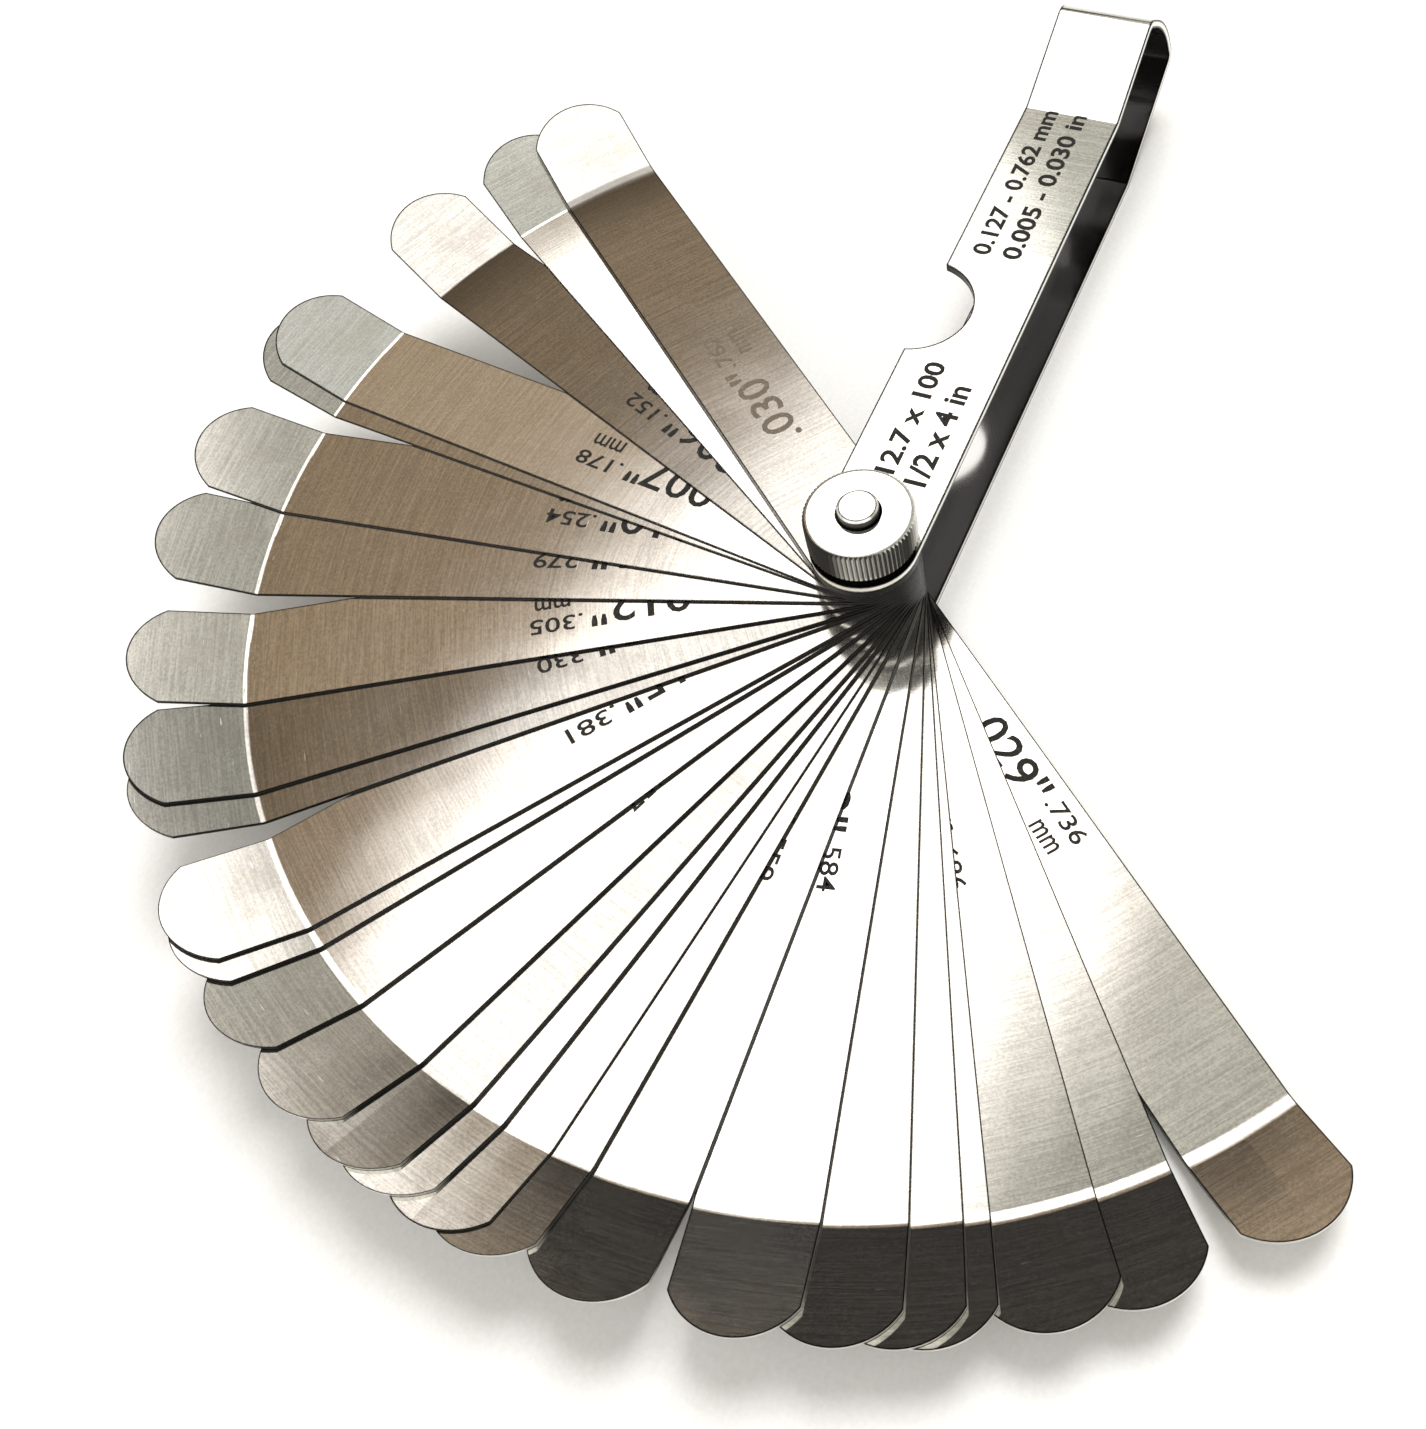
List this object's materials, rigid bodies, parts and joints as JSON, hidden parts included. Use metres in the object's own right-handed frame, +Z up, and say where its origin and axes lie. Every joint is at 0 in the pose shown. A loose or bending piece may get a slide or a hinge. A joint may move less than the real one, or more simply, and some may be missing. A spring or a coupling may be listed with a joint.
{
  "type": "feeler gauge",
  "caption": "Offset feeler gauge: bent-tip steel leaves fanned about a post in a folded steel clip, clamped by a knurled thumb nut.",
  "frame": {"origin": "where the post's axis meets the underside of the clip's lower arm, which is the post head's flush face", "axes": "+Z up along the post's axis, from the clip's lower arm to the thumb nut; +X from the post along the clip to its folded end; +Y the side the finger notch is on"},
  "size_m": [0.1832, 0.1538, 0.0214],
  "materials": {
    "leaf_steel": "cross-ground spring steel, dull",
    "clip_steel": "bright nickel-plated strip",
    "nut_steel": "bright plated, straight knurl",
    "post_steel": "bright plated"
  },
  "bodies": {
    "clip": {"holder_clip": "clip_steel", "pivot_post": "post_steel"},
    "leaf_030": {"leaf_030": "leaf_steel"},
    "leaf_005": {"leaf_005": "leaf_steel"},
    "leaf_006": {"leaf_006": "leaf_steel"},
    "leaf_007": {"leaf_007": "leaf_steel"},
    "leaf_008": {"leaf_008": "leaf_steel"},
    "leaf_010": {"leaf_010": "leaf_steel"},
    "leaf_011": {"leaf_011": "leaf_steel"},
    "leaf_012": {"leaf_012": "leaf_steel"},
    "leaf_013": {"leaf_013": "leaf_steel"},
    "leaf_014": {"leaf_014": "leaf_steel"},
    "leaf_015": {"leaf_015": "leaf_steel"},
    "leaf_016": {"leaf_016": "leaf_steel"},
    "leaf_017": {"leaf_017": "leaf_steel"},
    "leaf_018": {"leaf_018": "leaf_steel"},
    "leaf_019": {"leaf_019": "leaf_steel"},
    "leaf_020": {"leaf_020": "leaf_steel"},
    "leaf_009": {"leaf_009": "leaf_steel"},
    "leaf_021": {"leaf_021": "leaf_steel"},
    "leaf_022": {"leaf_022": "leaf_steel"},
    "leaf_023": {"leaf_023": "leaf_steel"},
    "leaf_024": {"leaf_024": "leaf_steel"},
    "leaf_025": {"leaf_025": "leaf_steel"},
    "leaf_026": {"leaf_026": "leaf_steel"},
    "leaf_027": {"leaf_027": "leaf_steel"},
    "leaf_028": {"leaf_028": "leaf_steel"},
    "leaf_029": {"leaf_029": "leaf_steel"},
    "washer": {"flat_washer": "post_steel"},
    "nut": {"thumb_nut": "nut_steel"}
  },
  "joints": [
    {"name": "leaf_030_swing", "type": "hinge", "parent": "clip", "child": "leaf_030", "pos_m": [0, 0, 0], "axis": [0, 0, 1], "range_deg": [-51, 309]},
    {"name": "leaf_005_swing", "type": "hinge", "parent": "clip", "child": "leaf_005", "pos_m": [0, 0, 0], "axis": [0, 0, 1], "range_deg": [-57, 303]},
    {"name": "leaf_006_swing", "type": "hinge", "parent": "clip", "child": "leaf_006", "pos_m": [0, 0, 0], "axis": [0, 0, 1], "range_deg": [-68, 292]},
    {"name": "leaf_007_swing", "type": "hinge", "parent": "clip", "child": "leaf_007", "pos_m": [0, 0, 0], "axis": [0, 0, 1], "range_deg": [-83.5, 276.5]},
    {"name": "leaf_008_swing", "type": "hinge", "parent": "clip", "child": "leaf_008", "pos_m": [0, 0, 0], "axis": [0, 0, 1], "range_deg": [-85.5, 274.5]},
    {"name": "leaf_010_swing", "type": "hinge", "parent": "clip", "child": "leaf_010", "pos_m": [0, 0, 0], "axis": [0, 0, 1], "range_deg": [-97.5, 262.5]},
    {"name": "leaf_011_swing", "type": "hinge", "parent": "clip", "child": "leaf_011", "pos_m": [0, 0, 0], "axis": [0, 0, 1], "range_deg": [-107, 253]},
    {"name": "leaf_012_swing", "type": "hinge", "parent": "clip", "child": "leaf_012", "pos_m": [0, 0, 0], "axis": [0, 0, 1], "range_deg": [-119, 241]},
    {"name": "leaf_013_swing", "type": "hinge", "parent": "clip", "child": "leaf_013", "pos_m": [0, 0, 0], "axis": [0, 0, 1], "range_deg": [-128.5, 231.5]},
    {"name": "leaf_014_swing", "type": "hinge", "parent": "clip", "child": "leaf_014", "pos_m": [0, 0, 0], "axis": [0, 0, 1], "range_deg": [-131.5, 228.5]},
    {"name": "leaf_015_swing", "type": "hinge", "parent": "clip", "child": "leaf_015", "pos_m": [0, 0, 0], "axis": [0, 0, 1], "range_deg": [-143, 217]},
    {"name": "leaf_016_swing", "type": "hinge", "parent": "clip", "child": "leaf_016", "pos_m": [0, 0, 0], "axis": [0, 0, 1], "range_deg": [-145, 215]},
    {"name": "leaf_017_swing", "type": "hinge", "parent": "clip", "child": "leaf_017", "pos_m": [0, 0, 0], "axis": [0, 0, 1], "range_deg": [-151.5, 208.5]},
    {"name": "leaf_018_swing", "type": "hinge", "parent": "clip", "child": "leaf_018", "pos_m": [0, 0, 0], "axis": [0, 0, 1], "range_deg": [-159, 201]},
    {"name": "leaf_019_swing", "type": "hinge", "parent": "clip", "child": "leaf_019", "pos_m": [0, 0, 0], "axis": [0, 0, 1], "range_deg": [-164.5, 195.5]},
    {"name": "leaf_020_swing", "type": "hinge", "parent": "clip", "child": "leaf_020", "pos_m": [0, 0, 0], "axis": [0, 0, 1], "range_deg": [-167.5, 192.5]},
    {"name": "leaf_009_swing", "type": "hinge", "parent": "clip", "child": "leaf_009", "pos_m": [0, 0, 0], "axis": [0, 0, 1], "range_deg": [-172, 188]},
    {"name": "leaf_021_swing", "type": "hinge", "parent": "clip", "child": "leaf_021", "pos_m": [0, 0, 0], "axis": [0, 0, 1], "range_deg": [-175.5, 184.5]},
    {"name": "leaf_022_swing", "type": "hinge", "parent": "clip", "child": "leaf_022", "pos_m": [0, 0, 0], "axis": [0, 0, 1], "range_deg": [-183.5, 176.5]},
    {"name": "leaf_023_swing", "type": "hinge", "parent": "clip", "child": "leaf_023", "pos_m": [0, 0, 0], "axis": [0, 0, 1], "range_deg": [-193.5, 166.5]},
    {"name": "leaf_024_swing", "type": "hinge", "parent": "clip", "child": "leaf_024", "pos_m": [0, 0, 0], "axis": [0, 0, 1], "range_deg": [-200, 160]},
    {"name": "leaf_025_swing", "type": "hinge", "parent": "clip", "child": "leaf_025", "pos_m": [0, 0, 0], "axis": [0, 0, 1], "range_deg": [-204, 156]},
    {"name": "leaf_026_swing", "type": "hinge", "parent": "clip", "child": "leaf_026", "pos_m": [0, 0, 0], "axis": [0, 0, 1], "range_deg": [-206, 154]},
    {"name": "leaf_027_swing", "type": "hinge", "parent": "clip", "child": "leaf_027", "pos_m": [0, 0, 0], "axis": [0, 0, 1], "range_deg": [-214, 146]},
    {"name": "leaf_028_swing", "type": "hinge", "parent": "clip", "child": "leaf_028", "pos_m": [0, 0, 0], "axis": [0, 0, 1], "range_deg": [-220, 140]},
    {"name": "leaf_029_swing", "type": "hinge", "parent": "clip", "child": "leaf_029", "pos_m": [0, 0, 0], "axis": [0, 0, 1], "range_deg": [-231, 129]},
    {"name": "nut_lift", "type": "slide", "parent": "clip", "child": "washer", "axis": [0, 0, 1], "range_m": [0, 0.0016]},
    {"name": "nut_turn", "type": "hinge", "parent": "washer", "child": "nut", "pos_m": [0, 0, 0], "axis": [0, 0, 1], "range_deg": [0, 720]}
  ],
  "couplings": [
    {"joint": "nut_lift", "follows": "nut_turn", "m_per_rad": 0.00012633}
  ]
}
